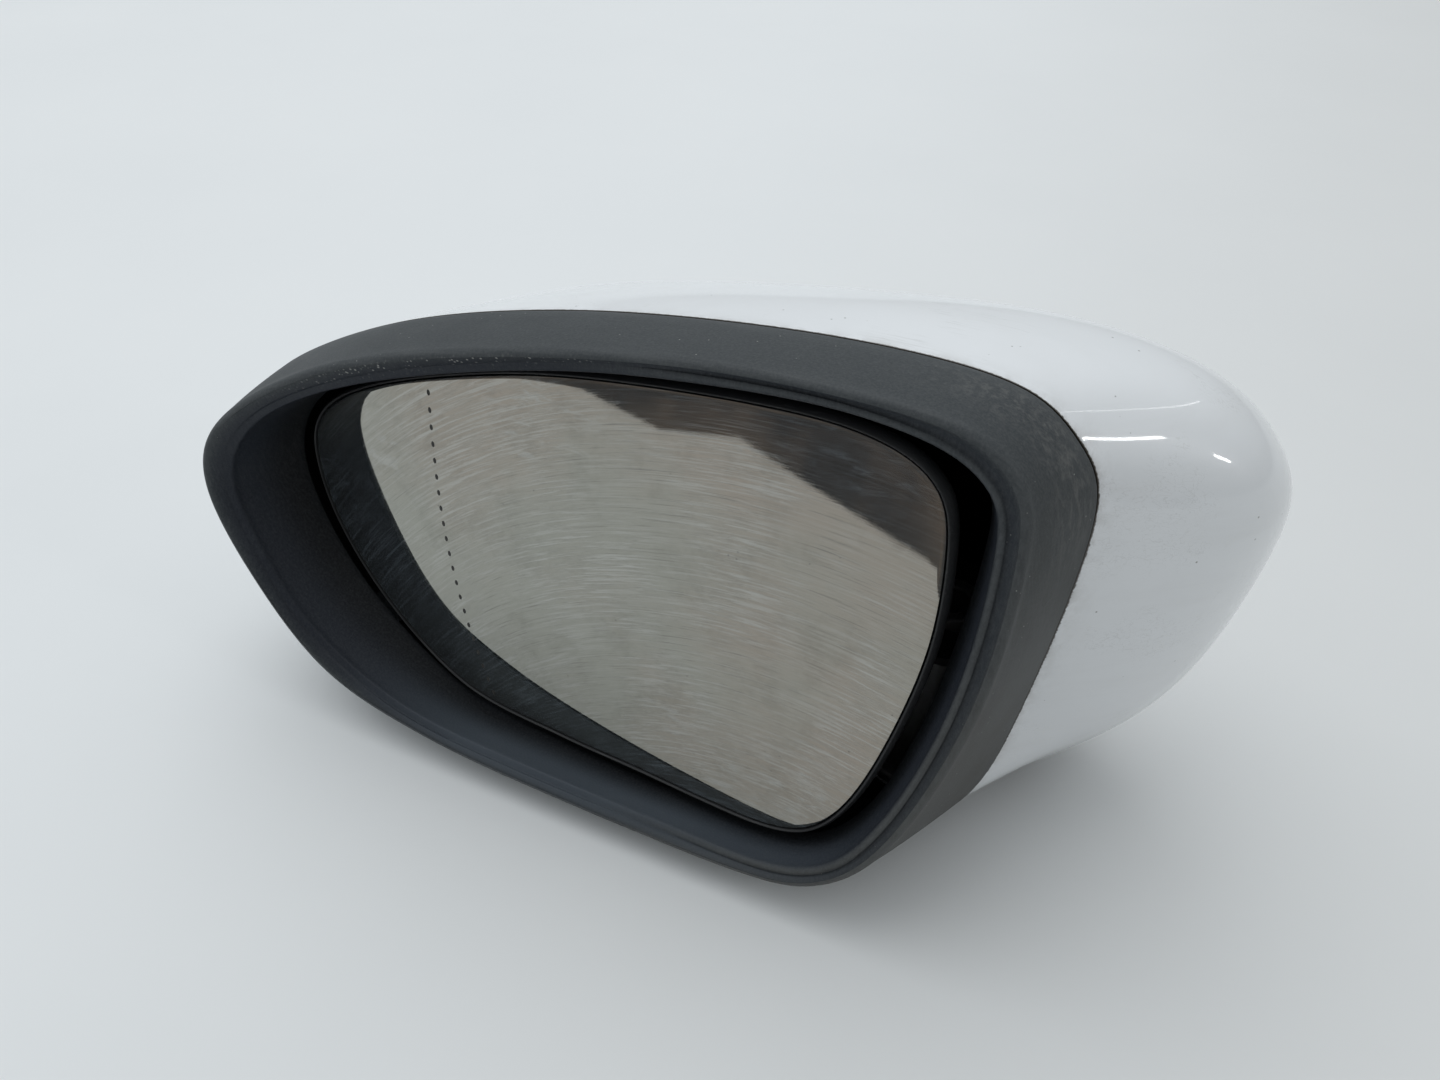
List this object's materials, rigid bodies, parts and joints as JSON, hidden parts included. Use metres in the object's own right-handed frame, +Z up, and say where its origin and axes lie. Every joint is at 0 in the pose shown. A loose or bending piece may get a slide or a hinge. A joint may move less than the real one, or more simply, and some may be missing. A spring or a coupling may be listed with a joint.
{
  "type": "wing mirror head",
  "caption": "Left door mirror head with a painted cap, dark bezel, deep-set powered glass that tilts and pans, and a power-fold pivot.",
  "frame": {"origin": "centre of the bounding box on the surface that the head stands on", "axes": "+Z up from that surface, +X along the rim towards the door, -Y out of the mirror's mouth"},
  "size_m": [0.2978, 0.1346, 0.1493],
  "materials": {
    "white_paint": "white gloss clear-coated paint on plastic",
    "textured_black": "fine-grained dark grey moulding",
    "mirror": "silvered convex glass",
    "black_plastic": "black moulding",
    "natural_plastic": "natural acetal",
    "steel": "bright steel",
    "cast_alloy": "die-cast alloy",
    "brass": "brass",
    "heater_foil": "printed heater foil"
  },
  "bodies": {
    "head": {"front_bezel": "textured_black", "painted_cap": "white_paint", "lower_housing": "textured_black", "actuator_cover": "black_plastic", "actuator_base": "black_plastic", "tilt_motor": "steel", "pan_motor": "steel", "actuator_screw_1": "steel", "actuator_screw_2": "steel", "actuator_screw_3": "steel", "carrier_frame": "black_plastic", "fold_housing": "cast_alloy", "fold_cover": "black_plastic", "fold_spring_seat": "steel", "fold_spring": "steel", "fold_motor": "steel", "connector_socket": "black_plastic"},
    "gimbal": {"pivot_gimbal": "steel"},
    "glass": {"mirror_glass": "mirror", "heater_pad": "heater_foil", "glass_holder": "black_plastic", "heater_terminal_1": "brass", "heater_terminal_2": "brass"},
    "tilt_plunger": {"tilt_plunger": "natural_plastic"},
    "pan_plunger": {"pan_plunger": "natural_plastic"},
    "tilt_nut": {"tilt_nut": "natural_plastic"},
    "pan_nut": {"pan_nut": "natural_plastic"},
    "foot_pivot": {"fold_post": "cast_alloy", "fold_gear": "steel", "fold_detent_ring": "steel"},
    "fold_worm": {"fold_worm": "brass"},
    "tilt_worm": {"tilt_worm": "brass"},
    "pan_worm": {"pan_worm": "brass"},
    "fold_motor_worm": {"fold_motor_worm": "brass"}
  },
  "joints": [
    {"name": "glass_tilt", "type": "hinge", "parent": "head", "child": "gimbal", "pos_m": [-0.01975, -0.02169, 0.0662], "axis": [0.9876, -0.0653, 0.1425], "range_deg": [-8, 8]},
    {"name": "glass_pan", "type": "hinge", "parent": "gimbal", "child": "glass", "pos_m": [-0.01975, -0.02169, 0.0662], "axis": [-0.1244, 0.2265, 0.966], "range_deg": [-4, 8]},
    {"name": "tilt_push", "type": "slide", "parent": "head", "child": "tilt_plunger", "axis": [-0.0954, -0.9718, 0.2156], "range_m": [-0.0039, 0.0039]},
    {"name": "pan_push", "type": "slide", "parent": "head", "child": "pan_plunger", "axis": [-0.0954, -0.9718, 0.2156], "range_m": [-0.0039, 0.002]},
    {"name": "tilt_nut_spin", "type": "hinge", "parent": "head", "child": "tilt_nut", "pos_m": [-0.02149, 0.00095, 0.08861], "axis": [-0.0954, -0.9718, 0.2156], "range_deg": [-345, 345]},
    {"name": "pan_nut_spin", "type": "hinge", "parent": "head", "child": "pan_nut", "pos_m": [0.00853, -0.00693, 0.06638], "axis": [-0.0954, -0.9718, 0.2156], "range_deg": [-345, 175]},
    {"name": "head_fold", "type": "hinge", "parent": "head", "child": "foot_pivot", "pos_m": [0.0742, 0.008, 0.03], "axis": [0, 0, 1], "range_deg": [-45, 70]},
    {"name": "fold_worm_spin", "type": "hinge", "parent": "head", "child": "fold_worm", "pos_m": [0.0539, 0.008, 0.022], "axis": [0, 1, 0], "range_deg": [-1540, 2390]},
    {"name": "tilt_worm_spin", "type": "hinge", "parent": "head", "child": "tilt_worm", "pos_m": [-0.0139, -0.00248, 0.07652], "axis": [0.9876, -0.0653, 0.1425], "range_deg": [-6800, 6800]},
    {"name": "pan_worm_spin", "type": "hinge", "parent": "head", "child": "pan_worm", "pos_m": [-0.00545, -0.0047, 0.07026], "axis": [-0.1244, 0.2265, 0.966], "range_deg": [-3400, 6800]},
    {"name": "fold_motor_spin", "type": "hinge", "parent": "head", "child": "fold_motor_worm", "pos_m": [0.0442, 0.0215, 0.0295], "axis": [0, 0, 1], "range_deg": [-33700, 52400]}
  ],
  "couplings": [
    {"joint": "tilt_push", "follows": "glass_tilt", "m_per_rad": 0.027},
    {"joint": "pan_push", "follows": "glass_pan", "m_per_rad": -0.027},
    {"joint": "tilt_nut_spin", "follows": "glass_tilt", "ratio": 42.411},
    {"joint": "pan_nut_spin", "follows": "glass_pan", "ratio": -42.411},
    {"joint": "fold_worm_spin", "follows": "head_fold", "ratio": 34},
    {"joint": "tilt_worm_spin", "follows": "glass_tilt", "ratio": 848.23},
    {"joint": "pan_worm_spin", "follows": "glass_pan", "ratio": 848.23},
    {"joint": "fold_motor_spin", "follows": "head_fold", "ratio": 748}
  ]
}
